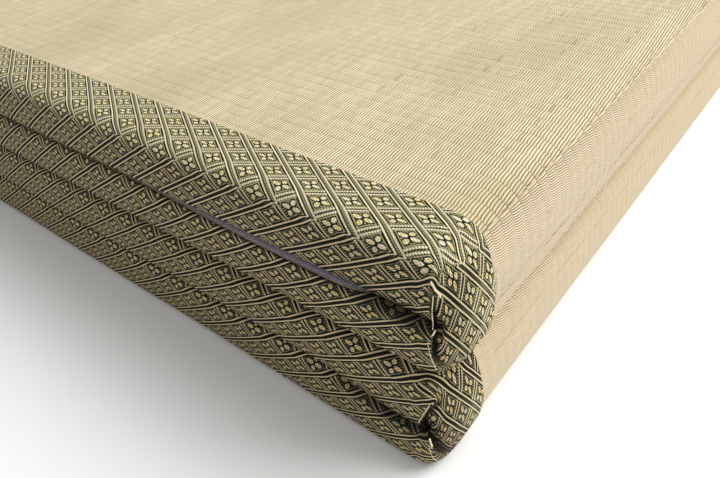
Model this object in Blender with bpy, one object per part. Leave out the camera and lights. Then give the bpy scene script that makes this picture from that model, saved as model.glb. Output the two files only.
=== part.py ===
import math

import bmesh
import bpy
from mathutils import Vector

# Lengths are in metres, written as millimetres times MM. X runs along the bound edge, Y across the
# mat towards its far edge, and Z up. The folded mat rests on Z = 0.
MM = 0.001

# Whole mat, folded in four
MAT_WIDTH = 1000 * MM       # front edge to rear edge, over the bindings
LEAF = 25.45 * MM           # filled thickness of one leaf
SHEET = 1.0 * MM            # binding and backing cloth
CLEARANCE = 0.4 * MM        # air between a cloth and the mat under it
RIGHT_HINGE_X = 258.0 * MM  # upper right fold, middle of its crease
LOWER_HINGE_X = 256.7 * MM  # lower right fold sits a little further in
LEFT_HINGE_X = -258.0 * MM
LEFT_END_X = -267.0 * MM    # free ends of the top and bottom leaves

# Folds
CREASE_RADIUS = 1.75 * MM   # half the space between two leaves, and the crease at its end
TUCK_DEPTH = 4.0 * MM       # how far the edge is drawn in at the corner pleat
TUCK_FLOOR = 0.05           # share of the leaf's thickness with the full tuck
TUCK_TOP = 0.72             # share where the tuck has run out

# Edge of a leaf, front and rear
CREST_RADIUS = 7.0 * MM     # edge on the rush side
FOOT_RADIUS = 4.0 * MM      # the same edge of the bottom leaf, pressed flat on the floor
SHOULDER_RADIUS = 3.5 * MM  # edge on the backing side
CREST_LIMIT = 0.52          # these two radii are at most such shares of the leaf's thickness
SHOULDER_LIMIT = 0.40
EDGE_CROWN = 0.6 * MM       # how far the edge face swells
BINDING_REACH = 26.5 * MM   # width of the binding on the rush side, from the front
FOLD_REACH = 25.0 * MM      # the same round a fold
CREST_ANGLES = (0, 18, 36, 54, 72, 90)
SHOULDER_ANGLES = (0, 20, 40, 54, 72, 90)
BINDING_LAST_ANGLE = 40     # the binding stops here on the shoulder and the backing begins

# Edge of a fold: it runs out from the pleat at the corner and swells back to the full bulge
FOLD_RUN = 21.0 * MM        # distance from the front at which the bulge is full
FOLD_TURN = 0.84            # share of the quarter turn given to the outer side
FOLD_NOSE = 1.4 * MM        # blunt edge at the pleat
FOLD_NOSE_LIMIT = 0.8       # its radius is at most this share of the height left below the bulge

# Free end of a leaf
END_RADIUS = 7.0 * MM
END_ANGLES = (0, 30, 60, 90)

# Lower right crease, pressed down by the leaf above it
SAG_DEPTH = 4.5 * MM
SAG_START_X = 200.0 * MM
SAG_FULL_X = 245.0 * MM
SAG_END_X = 268.0 * MM
SAG_RISE = 0.8              # share of the sag that is gone again at its end

# Half of a fold, from the leaf to the middle of the fold. Columns: x of the outer side from the
# crease in millimetres, its height as a share of the leaf's, x of the crease side in millimetres or
# its angle round the crease in degrees, the share of the pleat's depth, and how far the edge has
# changed from a leaf's edge to a fold's edge.
LEAF_ROWS = (
    (-57.0, 1.000, -57.0, None, 0.0, 0.0),
    (-42.0, 1.000, -42.0, None, 0.0, 0.0),
    (-28.0, 1.000, -28.0, None, 0.0, 0.0),
    (-16.0, 1.000, -16.0, None, 0.0, 0.0),
    (-8.0, 1.000, -8.0, None, 0.0, 0.0),
)
FOLD_TOP = LEAF_ROWS + (
    (-4.8, 0.982, -4.8, None, 0.05, 0.0),
    (-2.0, 0.952, -2.4, None, 0.45, 0.0),
    (0.4, 0.908, 0.0, 90, 1.0, 0.06),
    (2.7, 0.838, 0.0, 78, 0.45, 0.2),
    (4.8, 0.721, 0.0, 66, 0.1, 0.45),
    (6.7, 0.551, 0.0, 50, 0.0, 0.72),
    (8.2, 0.364, 0.0, 34, 0.0, 0.9),
    (9.2, 0.180, 0.0, 17, 0.0, 1.0),
    (9.6, 0.000, 0.0, 0, 0.0, 1.0),
)
FOLD_BASE = LEAF_ROWS + (
    (-4.4, 0.989, -4.8, None, 0.05, 0.0),
    (-1.0, 0.967, -2.4, None, 0.45, 0.0),
    (2.0, 0.926, 0.0, 90, 1.0, 0.06),
    (4.8, 0.853, 0.0, 78, 0.45, 0.2),
    (7.0, 0.728, 0.0, 66, 0.1, 0.45),
    (8.5, 0.559, 0.0, 50, 0.0, 0.72),
    (9.3, 0.371, 0.0, 34, 0.0, 0.9),
    (9.6, 0.184, 0.0, 17, 0.0, 1.0),
)

CLOTH_ROUGHNESS = 0.85
COLOURS = {
    "mat": (0.72, 0.62, 0.44),
    "backing": (0.30, 0.28, 0.30),
    "binding_front": (0.33, 0.31, 0.20),
    "binding_rear": (0.33, 0.31, 0.20),
}


def clear_scene():
    for item in list(bpy.data.objects):
        bpy.data.objects.remove(item, do_unlink=True)


def smooth(low, high, value):
    share = min(1.0, max(0.0, (value - low) / (high - low)))
    return share * share * (3 - 2 * share)


def leaf_levels():
    """Heights of the rush side and the backing side of each leaf, top leaf first."""
    foot = CLEARANCE + SHEET
    pitch = LEAF + 2 * CREASE_RADIUS
    bottom = (foot, foot + LEAF)
    third = (foot + pitch + LEAF, foot + pitch)
    second = (foot + 2 * pitch, foot + 2 * pitch + LEAF)
    top = (foot + 3 * pitch + LEAF, foot + 3 * pitch)
    return top, second, third, bottom


def fold_point(row, hinge, side, upper):
    """Outer and crease points of one station of a fold, in the XZ plane."""
    out_x, out_share, in_x, angle = row[:4]
    flat = CREASE_RADIUS + LEAF
    outer = (hinge[0] + side * out_x * MM, hinge[1] + upper * out_share * flat)
    if angle is None:
        inner = (hinge[0] + side * in_x * MM, hinge[1] + upper * CREASE_RADIUS)
    else:
        turn = math.radians(angle)
        inner = (
            hinge[0] + side * CREASE_RADIUS * math.cos(turn),
            hinge[1] + upper * CREASE_RADIUS * math.sin(turn),
        )
    return outer, inner


def fold_stations(hinge, side, rush_outside, on_floor=False):
    """Stations of one fold from its upper leaf round to its lower leaf."""
    stations = []
    rows = [(row, 1) for row in FOLD_TOP] + [(row, -1) for row in reversed(FOLD_BASE)]
    for row, upper in rows:
        outer, inner = fold_point(row, hinge, side, upper)
        rush, back = (outer, inner) if rush_outside else (inner, outer)
        stations.append({
            "rush": rush,
            "back": back,
            "tuck": row[4] * TUCK_DEPTH,
            "folded": row[5],
            "drawn": 0.0,
            "crest": CREST_RADIUS if upper > 0 or not on_floor else FOOT_RADIUS,
        })
    return stations


def end_stations(levels, crest):
    """Stations of a leaf's free end, from its tip inwards."""
    rush_z, back_z = levels
    up = 1 if rush_z > back_z else -1
    stations = []
    for angle in END_ANGLES:
        inset = END_RADIUS * (1 - math.sin(math.radians(angle)))
        x = LEFT_END_X + END_RADIUS * (1 - math.cos(math.radians(angle)))
        stations.append({
            "rush": (x, rush_z - up * inset),
            "back": (x, back_z + up * inset),
            "tuck": 0.0,
            "folded": 0.0,
            "drawn": inset,
            "crest": crest,
        })
    return stations


def all_stations():
    """The whole way along the mat, from the top leaf's free end to the bottom leaf's."""
    top, second, third, bottom = leaf_levels()
    stations = end_stations(top, CREST_RADIUS)
    upper_hinge = (RIGHT_HINGE_X, (top[1] + second[1]) / 2)
    middle_hinge = (LEFT_HINGE_X, (second[0] + third[0]) / 2)
    lower_hinge = (LOWER_HINGE_X, (third[1] + bottom[1]) / 2)
    stations += fold_stations(upper_hinge, 1, True)
    stations += fold_stations(middle_hinge, -1, False)
    stations += fold_stations(lower_hinge, 1, True, on_floor=True)
    return stations + end_stations(bottom, FOOT_RADIUS)[::-1]


def leaf_edge(thickness, radius):
    """Height above the backing side and distance from the front, from the rush side round the edge."""
    crest = min(radius, CREST_LIMIT * thickness)
    shoulder = min(SHOULDER_RADIUS, SHOULDER_LIMIT * thickness)
    points = [(thickness, BINDING_REACH)]
    for angle in CREST_ANGLES:
        turn = math.radians(angle)
        points.append((thickness - crest + crest * math.cos(turn), crest - crest * math.sin(turn)))
    points.append(((thickness - crest + shoulder) / 2, -EDGE_CROWN))
    for angle in SHOULDER_ANGLES:
        turn = math.radians(angle)
        points.append((shoulder - shoulder * math.sin(turn), shoulder - shoulder * math.cos(turn)))
    return points


def fold_edge(thickness):
    """The same columns where the edge is a fold's, swelling back from the pleat to the full bulge."""
    points = [(thickness, FOLD_REACH)]
    turns = [FOLD_TURN * math.radians(angle) for angle in CREST_ANGLES]
    for turn in turns:
        points.append((thickness * math.cos(turn) ** 2, FOLD_RUN * (1 - math.sin(turn))))
    last_height, last_depth = points[-1]
    nose = min(FOLD_NOSE, FOLD_NOSE_LIMIT * last_height)
    points.append(((last_height + nose) / 2, last_depth / 2 + nose / 2))
    for angle in SHOULDER_ANGLES:
        turn = math.radians(angle)
        points.append((nose - nose * math.sin(turn), 2 * nose - nose * math.cos(turn)))
    return points


def edge_profile(station, thickness):
    """Edge of one station, between a leaf's edge and a fold's."""
    share = station["folded"]
    pairs = zip(leaf_edge(thickness, station["crest"]), fold_edge(thickness))
    return [(a[0] + (b[0] - a[0]) * share, a[1] + (b[1] - a[1]) * share) for a, b in pairs]


def sag(x, z, crease_z):
    """Lowering of the lower right crease, fading out at the floor and at the middle of the stack."""
    rise = 1 - SAG_RISE * smooth(SAG_FULL_X, SAG_END_X, x)
    along = smooth(SAG_START_X, SAG_FULL_X, x) * rise
    near = max(0.0, 1 - abs(z - crease_z) / crease_z)
    return SAG_DEPTH * along * near * near * (3 - 2 * near)


def surface_loops():
    """Points of the filled mat's skin, one closed loop a station."""
    crease_z = (leaf_levels()[2][1] + leaf_levels()[3][1]) / 2
    front_y = -MAT_WIDTH / 2 + CLEARANCE + SHEET + EDGE_CROWN
    loops = []
    for station in all_stations():
        rush = station["rush"]
        back = station["back"]
        thickness = math.dist(rush, back)
        front = []
        for height, depth in edge_profile(station, thickness):
            share = height / thickness
            x = back[0] + (rush[0] - back[0]) * share
            z = back[1] + (rush[1] - back[1]) * share
            pleat = station["tuck"] * (1 - smooth(TUCK_FLOOR, TUCK_TOP, share))
            front.append((x, front_y + depth + pleat + station["drawn"], z - sag(x, z, crease_z)))
        rear = [(x, -y, z) for x, y, z in reversed(front)]
        loops.append([Vector(point) for point in front + rear])
    return loops


def skin_normals(loops):
    """Outward normal at each point of the skin, from the faces round it."""
    count = len(loops[0])
    normals = [[Vector((0, 0, 0)) for _ in loop] for loop in loops]
    for row in range(len(loops) - 1):
        for column in range(count):
            right = (column + 1) % count
            corners = ((row, column), (row, right), (row + 1, right), (row + 1, column))
            first, second, third, fourth = (loops[r][c] for r, c in corners)
            face = (second - fourth).cross(third - first).normalized()
            for r, c in corners:
                normals[r][c] += face
    return [[normal.normalized() for normal in row] for row in normals]


def add_object(name, vertices, faces):
    mesh = bpy.data.meshes.new(name)
    mesh.from_pydata([tuple(vertex) for vertex in vertices], [], faces)
    work = bmesh.new()
    work.from_mesh(mesh)
    bmesh.ops.recalc_face_normals(work, faces=work.faces[:])
    work.to_mesh(mesh)
    work.free()
    item = bpy.data.objects.new(name, mesh)
    bpy.context.scene.collection.objects.link(item)
    material = bpy.data.materials.new(name)
    material.use_nodes = True
    shader = material.node_tree.nodes["Principled BSDF"]
    shader.inputs["Base Color"].default_value = (*COLOURS[name], 1.0)
    shader.inputs["Roughness"].default_value = CLOTH_ROUGHNESS
    mesh.materials.append(material)


def add_tube(name, loops):
    """Closed body from closed loops, with a flat cap at each end."""
    count = len(loops[0])
    vertices = [point for loop in loops for point in loop]
    faces = []
    for row in range(len(loops) - 1):
        for column in range(count):
            right = (column + 1) % count
            base = row * count
            faces.append((base + column, base + right, base + count + right, base + count + column))
    faces.append(tuple(range(count)))
    faces.append(tuple(range(len(vertices) - count, len(vertices))))
    add_object(name, vertices, faces)


def add_cloth(name, loops, normals, first, last):
    """Sheet lying over the skin's columns from first to last, all along the mat."""
    strips = []
    for loop, row in zip(loops, normals):
        inner = [loop[c] + row[c] * CLEARANCE for c in range(first, last + 1)]
        outer = [loop[c] + row[c] * (CLEARANCE + SHEET) for c in range(first, last + 1)]
        strips.append(inner + outer[::-1])
    add_tube(name, strips)


def build():
    clear_scene()
    loops = surface_loops()
    normals = skin_normals(loops)
    last = len(loops[0]) - 1
    half = len(loops[0]) // 2
    edge = half - len(SHOULDER_ANGLES) + SHOULDER_ANGLES.index(BINDING_LAST_ANGLE)
    add_tube("mat", loops)
    add_cloth("backing", loops[1:-1], normals[1:-1], edge + 1, last - edge - 1)
    add_cloth("binding_front", loops[1:-1], normals[1:-1], 0, edge)
    add_cloth("binding_rear", loops[1:-1], normals[1:-1], last - edge, last)


build()
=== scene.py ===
import math

import bpy
import numpy as np
from mathutils import Matrix, Vector


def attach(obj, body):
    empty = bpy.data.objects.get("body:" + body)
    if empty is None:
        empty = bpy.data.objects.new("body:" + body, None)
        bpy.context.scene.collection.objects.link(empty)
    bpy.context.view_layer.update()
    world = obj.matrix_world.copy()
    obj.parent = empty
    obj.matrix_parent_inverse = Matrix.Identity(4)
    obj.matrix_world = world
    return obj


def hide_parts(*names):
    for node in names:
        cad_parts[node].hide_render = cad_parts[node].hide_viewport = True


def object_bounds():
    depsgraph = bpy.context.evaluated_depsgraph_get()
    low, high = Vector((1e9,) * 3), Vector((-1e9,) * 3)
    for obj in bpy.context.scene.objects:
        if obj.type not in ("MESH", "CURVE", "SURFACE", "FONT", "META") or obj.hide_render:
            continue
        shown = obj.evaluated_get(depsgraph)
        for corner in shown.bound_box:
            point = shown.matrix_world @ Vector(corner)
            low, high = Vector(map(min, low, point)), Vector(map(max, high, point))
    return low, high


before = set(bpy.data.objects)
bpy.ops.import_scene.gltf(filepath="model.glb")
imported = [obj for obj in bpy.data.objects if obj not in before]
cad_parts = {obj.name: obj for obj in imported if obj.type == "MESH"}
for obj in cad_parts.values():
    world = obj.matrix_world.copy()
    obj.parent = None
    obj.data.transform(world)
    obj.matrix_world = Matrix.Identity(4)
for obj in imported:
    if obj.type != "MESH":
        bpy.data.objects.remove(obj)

# Lengths are metres, X along the bound edge, Y across the mat, Z up, as in the frame.
mm = 0.001
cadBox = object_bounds()

# Sizes of the folded stack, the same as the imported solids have
stack = {
    "halfWidth": (cadBox[1].y - cadBox[0].y) / 2,
    "leaf": 25.45 * mm,             # filled thickness of one leaf
    "sheet": 1.0 * mm,              # binding and backing cloth
    "clearance": 0.4 * mm,          # air under a cloth
    "rightHinge": 258.0 * mm,       # middle of the upper right crease
    "lowerHinge": 256.7 * mm,
    "leftHinge": -258.0 * mm,
    "leftEnd": -267.0 * mm,         # free ends of the top and bottom leaves
    "creaseRadius": 1.75 * mm,      # half the space between two leaves
    "endRadius": 7.0 * mm,
    "crest": 7.0 * mm,              # edge on the rush side
    "mostCrest": 0.52,              # and the most of the thickness that it may take
    "foot": 4.0 * mm,               # the same edge of the bottom leaf, pressed on the floor
    "shoulder": 3.5 * mm,           # edge on the backing side
    "mostShoulder": 0.40,
    "crown": 0.6 * mm,              # how far the edge face swells
    "reach": 26.5 * mm,             # width of the binding on the rush side
    "foldReach": 25.0 * mm,         # the same round a fold
    "foldRun": 21.0 * mm,           # distance from the front at which a fold has its full bulge
    "foldTurn": 0.84,               # share of the quarter turn on the outer side
    "foldNose": 1.4 * mm,           # blunt edge at the pleat
    "mostNose": 0.8,
    "floorDraw": 2.0 * mm,          # how far the turn over the floor draws in,
    "floorFrom": -5.0,              # from this x in mm, as in the rows below,
    "floorShare": 0.6,              # and the height share from which it is full
}

# Half of a fold from the leaf to the middle. Columns: x of the outer side from the crease in mm, its
# height as a share of the leaf's, x of the crease side in mm or None, its angle round the crease in
# degrees or None, and how far the edge has changed from a leaf's to a fold's.
leafRows = (
    (-57.0, 1.000, -57.0, None, 0.0),
    (-42.0, 1.000, -42.0, None, 0.0),
    (-28.0, 1.000, -28.0, None, 0.0),
    (-16.0, 1.000, -16.0, None, 0.0),
    (-8.0, 1.000, -8.0, None, 0.0),
)
upperRows = leafRows + (
    (-4.8, 0.982, -4.8, None, 0.0),
    (-2.0, 0.952, -2.4, None, 0.0),
    (0.4, 0.908, None, 90, 0.06),
    (2.7, 0.838, None, 78, 0.2),
    (4.8, 0.721, None, 66, 0.45),
    (6.7, 0.551, None, 50, 0.72),
    (8.2, 0.364, None, 34, 0.9),
    (9.2, 0.180, None, 17, 1.0),
    (9.6, 0.000, None, 0, 1.0),
)
lowerRows = leafRows + (
    (-4.4, 0.989, -4.8, None, 0.0),
    (-1.0, 0.967, -2.4, None, 0.0),
    (2.0, 0.926, None, 90, 0.06),
    (4.8, 0.853, None, 78, 0.2),
    (7.0, 0.728, None, 66, 0.45),
    (8.5, 0.559, None, 50, 0.72),
    (9.3, 0.371, None, 34, 0.9),
    (9.6, 0.184, None, 17, 1.0),
)

# The mitre in the binding at each right-hand fold. Columns: height from the crease, left edge and
# right edge of the slit as x from the crease, and its depth, all in mm.
upperMitre = (
    (-21.0, 3.4, 3.7, 0.0),
    (-18.5, 2.7, 3.6, 0.6),
    (-12.6, 1.1, 2.7, 1.4),
    (-7.9, 0.9, 2.6, 1.7),
    (-3.0, 0.9, 2.6, 2.2),
    (0.0, 0.8, 2.6, 2.6),
    (3.0, 0.6, 2.3, 2.2),
    (6.9, 0.3, 1.9, 1.6),
    (10.0, 0.1, 1.6, 1.2),
    (15.5, 0.0, 1.2, 0.5),
    (18.0, 0.0, 0.4, 0.0),
)
lowerMitre = (
    (-21.0, 5.2, 5.6, 0.0),
    (-18.8, 4.0, 5.2, 1.0),
    (-14.0, 2.8, 4.4, 1.4),
    (-7.8, 1.6, 3.4, 1.9),
    (-4.0, 0.6, 2.8, 2.4),
    (-1.0, -4.0, 3.2, 3.4),
    (2.9, -3.1, 4.0, 3.6),
    (10.0, -0.7, 4.2, 3.0),
    (13.5, 0.5, 3.8, 2.2),
    (16.4, 1.6, 3.0, 0.9),
    (18.5, 2.4, 3.0, 0.0),
)
mitreEdge = {
    "sharp": 0.8 * mm,            # width over which the slit's left edge drops
    "shade": (1.0 * mm, 2.2 * mm),    # where the dark beside that edge begins and ends to fade
    "shadeEdge": 0.3 * mm,
    "shadeDepth": (0.3 * mm, 1.6 * mm),
    "straight": 13.0 * mm,        # height from the crease up to which the pattern breaks sharply,
    "spreadOver": 12.0 * mm,      # and beyond which it bends over a width
    "spread": 1.6 * mm,
    "wrapped": 0.7,               # how fast the pattern runs from the corner to the slit
    "sheared": 1.1,               # and how much it rises on the way
    "unrolled": 9.0 * mm,         # width over which the fold's turn passes to the flat cloth beside it
    "along": 60.0 * mm,           # how far from the crease the pattern follows the fold
    "up": 27.3 * mm,
    "face": (0.5 * mm, 5 * mm),   # depth over which the front's straight map ends
    "left": (-6 * mm, -1 * mm),   # and the x from the crease over which it begins
}


# Numbers

def smooth(low, high, value):
    share = np.clip((value - low) / (high - low), 0.0, 1.0)
    return share * share * (3 - 2 * share)


def blendTo(first, second, share):
    return first + (second - first) * share


def unit(vectors):
    length = np.linalg.norm(vectors, axis=-1, keepdims=True)
    return vectors / np.maximum(length, 1e-12)


def curveThrough(values, places, wanted):
    # Smooth curve through values at uneven places, without overshoot beside a long straight part
    steps = np.diff(places)[:, None]
    slopes = np.diff(values, axis=0) / steps
    inner = (slopes[1:] * steps[:-1] + slopes[:-1] * steps[1:]) / (steps[1:] + steps[:-1])
    most = 3 * np.minimum(np.abs(slopes[1:]), np.abs(slopes[:-1]))
    inner = np.where(slopes[1:] * slopes[:-1] > 0, np.clip(inner, -most, most), 0)
    tangents = np.vstack([slopes[:1], inner, slopes[-1:]])
    cell = np.clip(np.searchsorted(places, wanted, side="right") - 1, 0, len(places) - 2)
    width = steps[cell]
    t = ((wanted - places[cell]) / steps[cell, 0])[:, None]
    return (
        values[cell] * (2 * t ** 3 - 3 * t ** 2 + 1)
        + values[cell + 1] * (3 * t ** 2 - 2 * t ** 3)
        + tangents[cell] * width * (t ** 3 - 2 * t ** 2 + t)
        + tangents[cell + 1] * width * (t ** 3 - t ** 2)
    )


# Stations along the folded mat. A key row holds the x and z of its rush side and of its backing side,
# how far its edge is a fold's, how far it is drawn in, its crest's radius, its leaf and its step.
stepSizes = {
    "leaf": 12.0 * mm,
    "nearFold": 3.0 * mm,
    "fold": 0.6 * mm,
    "hiddenFold": 1.8 * mm,
    "end": 1.5 * mm,
    "nearFrom": -20,              # x in mm, as in the rows above
    "foldFrom": -6,
    "pastEnd": ((8 * mm, "nearFold"), (25 * mm, "leaf")),
}


def leafLevels():
    # Heights of the rush side and the backing side of each leaf, top leaf first
    foot = stack["clearance"] + stack["sheet"]
    pitch = stack["leaf"] + 2 * stack["creaseRadius"]
    bottom = (foot, foot + stack["leaf"])
    third = (foot + pitch + stack["leaf"], foot + pitch)
    second = (foot + 2 * pitch, foot + 2 * pitch + stack["leaf"])
    top = (foot + 3 * pitch + stack["leaf"], foot + 3 * pitch)
    return top, second, third, bottom


def hinges():
    top, second, third, bottom = leafLevels()
    return {
        "upper": (stack["rightHinge"], (top[1] + second[1]) / 2),
        "middle": (stack["leftHinge"], (second[0] + third[0]) / 2),
        "lower": (stack["lowerHinge"], (third[1] + bottom[1]) / 2),
    }


def foldKeys(hinge, side, rushOutside, leafAbove, onFloor=False):
    keys = []
    foldStep = stepSizes["fold"] if rushOutside else stepSizes["hiddenFold"]
    radius = stack["creaseRadius"]
    rows = [(row, 1) for row in upperRows] + [(row, -1) for row in reversed(lowerRows)]
    for (outX, outShare, inX, angle, folded), upper in rows:
        if onFloor and upper < 0 and outX > stack["floorFrom"]:
            outX -= stack["floorDraw"] / mm * min(1, outShare / stack["floorShare"])
        outer = (hinge[0] + side * outX * mm, hinge[1] + upper * outShare * (radius + stack["leaf"]))
        if angle is None:
            inner = (hinge[0] + side * inX * mm, hinge[1] + upper * radius)
        else:
            turn = math.radians(angle)
            inner = (
                hinge[0] + side * radius * math.cos(turn),
                hinge[1] + upper * radius * math.sin(turn),
            )
        rushSide, backSide = (outer, inner) if rushOutside else (inner, outer)
        crest = stack["crest"] if upper > 0 or not onFloor else stack["foot"]
        size = foldStep
        if outX < stepSizes["foldFrom"]:
            size = stepSizes["leaf"] if outX < stepSizes["nearFrom"] else stepSizes["nearFold"]
        leaf = leafAbove if upper > 0 else leafAbove + 1
        keys.append((*rushSide, *backSide, folded, 0.0, crest, leaf, size))
    return keys


def endKeys(levels, crest, leaf):
    keys = []
    up = 1 if levels[0] > levels[1] else -1
    for angle in (0, 30, 60, 90):
        inset = stack["endRadius"] * (1 - math.sin(math.radians(angle)))
        x = stack["leftEnd"] + stack["endRadius"] * (1 - math.cos(math.radians(angle)))
        keys.append((
            x, levels[0] - up * inset, x, levels[1] + up * inset,
            0.0, inset, crest, leaf, stepSizes["end"],
        ))
    for further, size in stepSizes["pastEnd"]:
        x = stack["leftEnd"] + stack["endRadius"] + further
        keys.append((x, levels[0], x, levels[1], 0.0, 0.0, crest, leaf, stepSizes[size]))
    return keys


def stations(coarser=1.0):
    # The whole way from the top leaf's free end to the bottom leaf's, with the distance run so far
    levels = leafLevels()
    places = hinges()
    keys = endKeys(levels[0], stack["crest"], 1)
    keys += foldKeys(places["upper"], 1, True, 1)
    keys += foldKeys(places["middle"], -1, False, 2)
    keys += foldKeys(places["lower"], 1, True, 3, onFloor=True)
    keys += endKeys(levels[-1], stack["foot"], 4)[::-1]
    keys = np.array(keys)
    rushSteps = np.hypot(*np.diff(keys[:, 0:2], axis=0).T)
    backSteps = np.hypot(*np.diff(keys[:, 2:4], axis=0).T)
    run = np.concatenate([[0.0], np.cumsum(np.maximum(rushSteps, backSteps))])
    wanted = [run[0]]
    for first in range(len(keys) - 1):
        size = min(keys[first, 8], keys[first + 1, 8]) * coarser
        count = max(1, math.ceil((run[first + 1] - run[first]) / size))
        wanted += list(np.linspace(run[first], run[first + 1], count + 1)[1:])
    wanted = np.array(wanted)
    rows = curveThrough(keys, run, wanted)
    return {
        "rush": rows[:, 0:2],
        "back": rows[:, 2:4],
        "folded": np.clip(rows[:, 4], 0, 1),
        "drawn": rows[:, 5],
        "crest": rows[:, 6],
        "leaf": rows[:, 7],
        "run": wanted,
    }


# Where the grey backing shows in the first gap: the second leaf's shoulder is rounder and barer there
bareShoulder = {
    "leaf": 2,
    "least": 0.5,                 # share along the whole gap
    "begins": (-260.0 * mm, -220.0 * mm),
    "from": 60.0 * mm,
    "full": 180.0 * mm,
    "until": 216.0 * mm,
    "to": 243.0 * mm,
    "radius": 7.4 * mm,
    "lastAngle": 38.0,
    "otherAngle": 80.0,
    "seam": 5.0,                  # degrees between the binding's end and the bare backing
}


def bareShare(row):
    x = (row["rush"][:, 0] + row["back"][:, 0]) / 2
    rise = smooth(bareShoulder["from"], bareShoulder["full"], x)
    rise = blendTo(smooth(*bareShoulder["begins"], x), rise, 1 - bareShoulder["least"])
    fall = 1 - smooth(bareShoulder["until"], bareShoulder["to"], x)
    return rise * fall * (np.abs(row["leaf"] - bareShoulder["leaf"]) < 0.01)


def edgeOutline(row, flatShares, crestAngles, midShares, shoulderShares, pastBinding=False):
    # Height above the backing side and distance from the front, one column for each place round the edge
    thick = np.linalg.norm(row["rush"] - row["back"], axis=1)[:, None]
    bare = bareShare(row)[:, None]
    folded = row["folded"][:, None]
    crest = np.minimum(row["crest"][:, None], stack["mostCrest"] * thick)
    roundness = blendTo(stack["shoulder"], bareShoulder["radius"], bare)
    shoulder = np.minimum(roundness, stack["mostShoulder"] * thick)
    lastAngle = np.radians(blendTo(bareShoulder["otherAngle"], bareShoulder["lastAngle"], bare))
    flat = np.array(flatShares)[None]
    turn = np.radians(np.array(crestAngles, dtype=float))[None]
    mid = np.array(midShares)[None]
    bend = np.array(shoulderShares)[None]
    if pastBinding:
        bend = blendTo(lastAngle + math.radians(bareShoulder["seam"]), math.pi / 2, bend)
    else:
        bend = bend * lastAngle
    leafHeight = [thick + 0 * flat, thick - crest + crest * np.cos(turn)]
    leafDepth = [crest + (stack["reach"] - crest) * flat, crest - crest * np.sin(turn)]
    leafHeight.append(blendTo(thick - crest, shoulder, mid))
    leafDepth.append(-stack["crown"] * 4 * mid * (1 - mid) + 0 * thick)
    leafHeight.append(shoulder - shoulder * np.sin(bend))
    leafDepth.append(shoulder - shoulder * np.cos(bend))
    part = turn * stack["foldTurn"]
    lastHeight = thick * math.cos(math.pi / 2 * stack["foldTurn"]) ** 2
    lastDepth = stack["foldRun"] * (1 - math.sin(math.pi / 2 * stack["foldTurn"]))
    nose = np.minimum(stack["foldNose"], stack["mostNose"] * lastHeight)
    foldHeight = [thick + 0 * flat, thick * np.cos(part) ** 2]
    foldDepth = [stack["foldRun"] + (stack["foldReach"] - stack["foldRun"]) * flat + 0 * thick]
    foldDepth.append(stack["foldRun"] * (1 - np.sin(part)) + 0 * thick)
    foldHeight.append(blendTo(lastHeight, nose, mid))
    foldDepth.append(blendTo(lastDepth, nose, mid))
    foldHeight.append(nose - nose * np.sin(bend))
    foldDepth.append(2 * nose - nose * np.cos(bend))
    height = blendTo(np.hstack(leafHeight), np.hstack(foldHeight), folded)
    depth = blendTo(np.hstack(leafDepth), np.hstack(foldDepth), folded)
    return height, depth, thick


sag = {
    "depth": 4.5 * mm,           # the lower right crease, pressed down by the leaf above it
    "start": 200.0 * mm,
    "full": 245.0 * mm,
    "end": 268.0 * mm,
    "rise": 0.8,
}


def lowered(x, z):
    creaseZ = hinges()["lower"][1]
    along = smooth(sag["start"], sag["full"], x) * (1 - sag["rise"] * smooth(sag["full"], sag["end"], x))
    near = np.clip(1 - np.abs(z - creaseZ) / creaseZ, 0, 1)
    return z - sag["depth"] * along * near * near * (3 - 2 * near)


def frontLine():
    return -stack["halfWidth"] + stack["clearance"] + stack["sheet"] + stack["crown"]


def placeOutline(row, height, depth, thick):
    share = height / thick
    x = blendTo(row["back"][:, 0:1], row["rush"][:, 0:1], share)
    z = blendTo(row["back"][:, 1:2], row["rush"][:, 1:2], share)
    y = frontLine() + depth + row["drawn"][:, None]
    return np.stack([x, y, lowered(x, z)], axis=2)


def gridNormals(points):
    # Outward normals of a grid of points, rows along the mat, columns from the rush side to the backing
    along = np.gradient(points, axis=0)
    across = np.gradient(points, axis=1)
    return unit(np.cross(unit(across), unit(along)))


def runAcross(skin):
    # Distance run across the cloth from its first column
    steps = np.linalg.norm(np.diff(skin, axis=1), axis=2)
    return np.hstack([np.zeros((len(skin), 1)), np.cumsum(steps, axis=1)])


def clothMap(along, across):
    return np.stack([np.repeat(along[:, None], across.shape[1], axis=1), across], axis=2)


def mitreDepth(points):
    # How far the front edge is tucked in at each slit, whose left edge is sharp and whose right is a slope,
    # and the shade beside the left edge
    depth = np.zeros(points.shape[:2])
    shade = np.zeros(points.shape[:2])
    x, z = points[..., 0], points[..., 2]
    for name, table in (("upper", upperMitre), ("lower", lowerMitre)):
        hinge = hinges()[name]
        heights, left, right, deep = np.array(table).T * mm
        leftEdge = hinge[0] + np.interp(z - hinge[1], heights, left)
        rightEdge = hinge[0] + np.interp(z - hinge[1], heights, right)
        deepest = np.interp(z - hinge[1], heights, deep, left=0, right=0)
        fromLeft = x - leftEdge
        slope = 1 - smooth(0, 1, (fromLeft - mitreEdge["sharp"]) / (rightEdge - leftEdge))
        depth = np.maximum(depth, deepest * smooth(0, mitreEdge["sharp"], fromLeft) * slope)
        dark = smooth(0, mitreEdge["shadeEdge"], fromLeft) * (1 - smooth(*mitreEdge["shade"], fromLeft))
        shade = np.maximum(shade, dark * smooth(*mitreEdge["shadeDepth"], deepest))
    return depth, shade


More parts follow.
